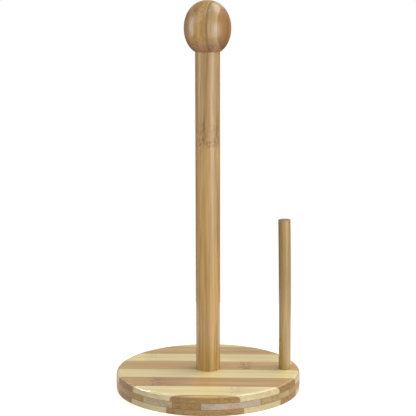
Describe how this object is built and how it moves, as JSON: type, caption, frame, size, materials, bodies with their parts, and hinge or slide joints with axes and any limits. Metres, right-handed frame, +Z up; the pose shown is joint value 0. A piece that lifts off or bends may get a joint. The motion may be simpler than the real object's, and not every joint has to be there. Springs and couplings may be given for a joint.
{
  "type": "roll holder",
  "caption": "Free-standing bamboo roll holder: round laminated board, upright post with an oval knob, and a short cane at the rim to hold and tear the sheet against.",
  "frame": {"origin": "on the post's axis, in the plane that the pads stand on", "axes": "+Z up along the post, +X from the post towards the tearing cane"},
  "size_m": [0.1524, 0.1524, 0.3198],
  "materials": {
    "bamboo_light": "natural bamboo strip, clear satin lacquer",
    "bamboo_dark": "steamed (carbonised) bamboo strip, clear satin lacquer",
    "bamboo_post": "steamed bamboo dowel, clear gloss lacquer",
    "bamboo_cane": "steamed bamboo rod, clear gloss lacquer",
    "bamboo_knob": "turned laminated bamboo, clear gloss lacquer",
    "zinc_steel": "bright zinc plate",
    "insert_brass": "turned brass",
    "pad_rubber": "soft matt"
  },
  "bodies": {
    "stand": {"base_bottom_strip_1": "bamboo_dark", "base_bottom_strip_2": "bamboo_light", "base_bottom_strip_3": "bamboo_dark", "base_bottom_strip_4": "bamboo_light", "base_bottom_strip_5": "bamboo_dark", "base_bottom_strip_6": "bamboo_light", "base_bottom_strip_7": "bamboo_dark", "base_bottom_strip_8": "bamboo_light", "base_core_strip_1": "bamboo_dark", "base_core_strip_2": "bamboo_dark", "base_core_strip_3": "bamboo_light", "base_core_strip_4": "bamboo_dark", "base_core_strip_5": "bamboo_light", "base_core_strip_6": "bamboo_light", "base_core_strip_7": "bamboo_dark", "base_core_strip_8": "bamboo_dark", "base_top_strip_1": "bamboo_dark", "base_top_strip_2": "bamboo_light", "base_top_strip_3": "bamboo_dark", "base_top_strip_4": "bamboo_light", "base_top_strip_5": "bamboo_dark", "base_top_strip_6": "bamboo_light", "base_top_strip_7": "bamboo_dark", "base_top_strip_8": "bamboo_light", "foot_pad_1": "pad_rubber", "foot_pad_2": "pad_rubber", "foot_pad_3": "pad_rubber", "foot_pad_4": "pad_rubber", "knob_insert": "insert_brass", "post_bolt": "zinc_steel", "post_insert": "insert_brass", "post_stave_1": "bamboo_post", "post_stave_2": "bamboo_post", "post_stave_3": "bamboo_post", "post_washer": "zinc_steel", "tearing_cane": "bamboo_cane"},
    "knob_screw": {"knob_stud": "zinc_steel"},
    "knob": {"knob_lamella_1": "bamboo_knob", "knob_lamella_2": "bamboo_knob", "knob_lamella_3": "bamboo_knob", "knob_lamella_4": "bamboo_knob", "knob_lamella_5": "bamboo_knob", "knob_lamella_6": "bamboo_knob"}
  },
  "joints": [
    {"name": "knob_rise", "type": "slide", "parent": "stand", "child": "knob_screw", "axis": [0, 0, 1], "range_m": [0, 0.0121]},
    {"name": "knob_turn", "type": "hinge", "parent": "knob_screw", "child": "knob", "pos_m": [0, 0, 0.27925], "axis": [0, 0, 1], "range_deg": [0, 4320]}
  ],
  "couplings": [
    {"joint": "knob_rise", "follows": "knob_turn", "m_per_rad": 0.00015915}
  ]
}
